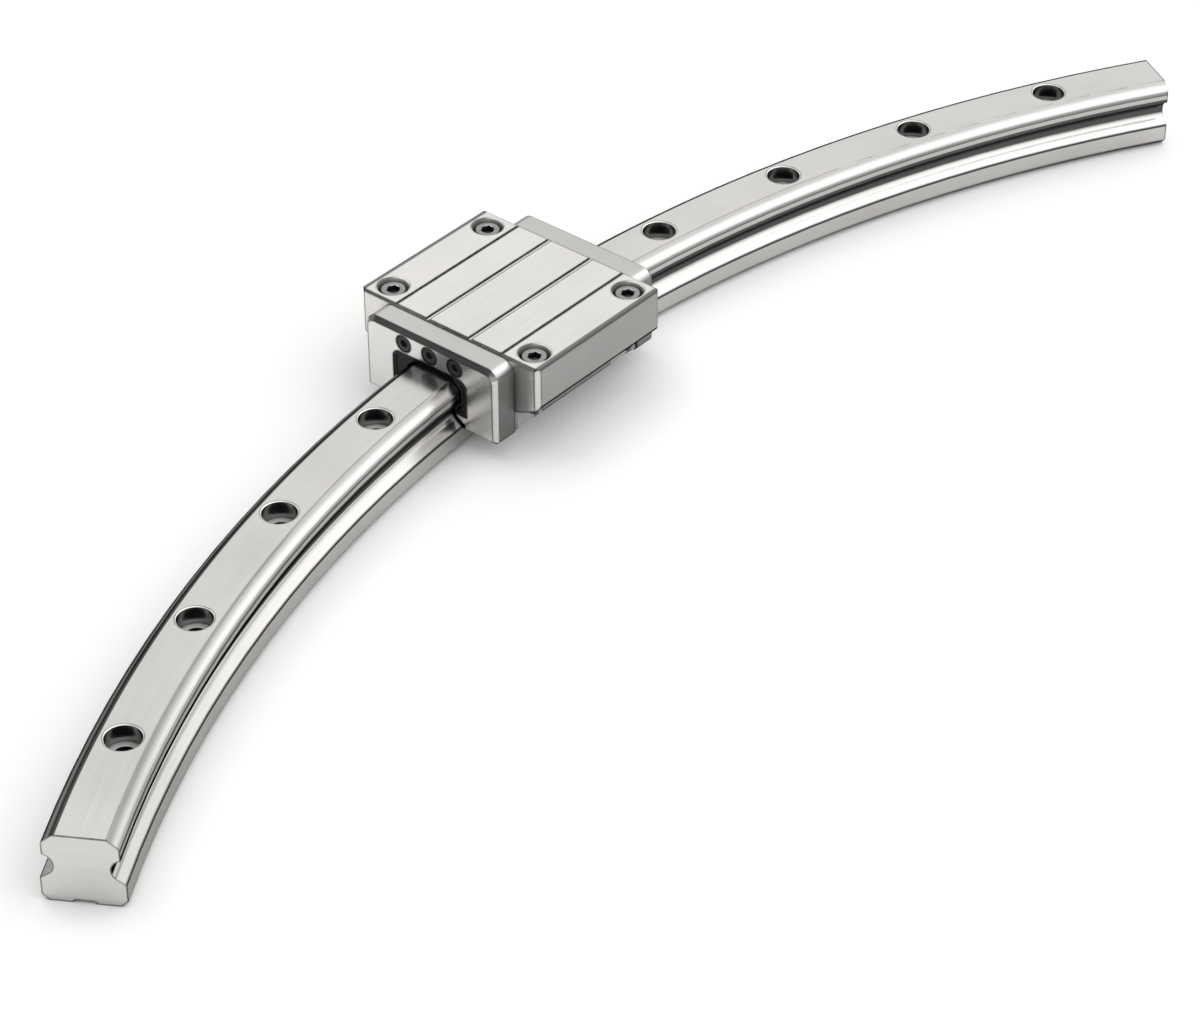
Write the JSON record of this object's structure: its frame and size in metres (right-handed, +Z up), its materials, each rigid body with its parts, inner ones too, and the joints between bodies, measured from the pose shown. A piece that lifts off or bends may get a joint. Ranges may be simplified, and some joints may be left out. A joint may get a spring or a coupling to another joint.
{
  "type": "curved linear guide",
  "caption": "Curved linear motion guide: an arc-shaped profile rail with counterbored holes, carrying a flanged bearing block with end plates, rubber seals and socket-head screws",
  "frame": {"origin": "centre of the bounding box in plan, at the level of the rail's flat base", "axes": "+Z up out of the base; X along the chord of the rail's arc, from one end towards the other; +Y outward from the arc's centre at the middle of the arc"},
  "size_m": [0.535, 0.121, 0.034],
  "materials": {
    "rail_steel": "ground bearing steel, bright, with fine lengthwise grinding marks",
    "carriage_steel": "ground steel with a fine satin top",
    "plate_steel": "bright satin metal with polished chamfers",
    "seal_rubber": "matt black nitrile rubber",
    "end_screw_steel": "dark oxide steel",
    "flange_screw_steel": "bright zinc-plated steel with a satin head",
    "ball_steel": "polished hardened balls"
  },
  "bodies": {
    "rail": {"guide_rail": "rail_steel"},
    "carriage": {"carriage_body": "carriage_steel", "end_plate_front": "plate_steel", "end_plate_rear": "plate_steel", "end_seal_front": "seal_rubber", "end_seal_rear": "seal_rubber", "end_screw_front_left": "end_screw_steel", "end_screw_front_middle": "end_screw_steel", "end_screw_front_right": "end_screw_steel", "end_screw_rear_left": "end_screw_steel", "end_screw_rear_middle": "end_screw_steel", "end_screw_rear_right": "end_screw_steel", "flange_screw_front_outer": "flange_screw_steel", "flange_screw_front_inner": "flange_screw_steel", "flange_screw_rear_outer": "flange_screw_steel", "flange_screw_rear_inner": "flange_screw_steel", "ball_row_outer": "ball_steel", "ball_row_inner": "ball_steel"}
  },
  "joints": [
    {"name": "carriage_travel", "type": "hinge", "parent": "rail", "child": "carriage", "pos_m": [0, -0.47654, 0], "axis": [0, 0, 1], "range_deg": [-26.5, 26.5]}
  ]
}
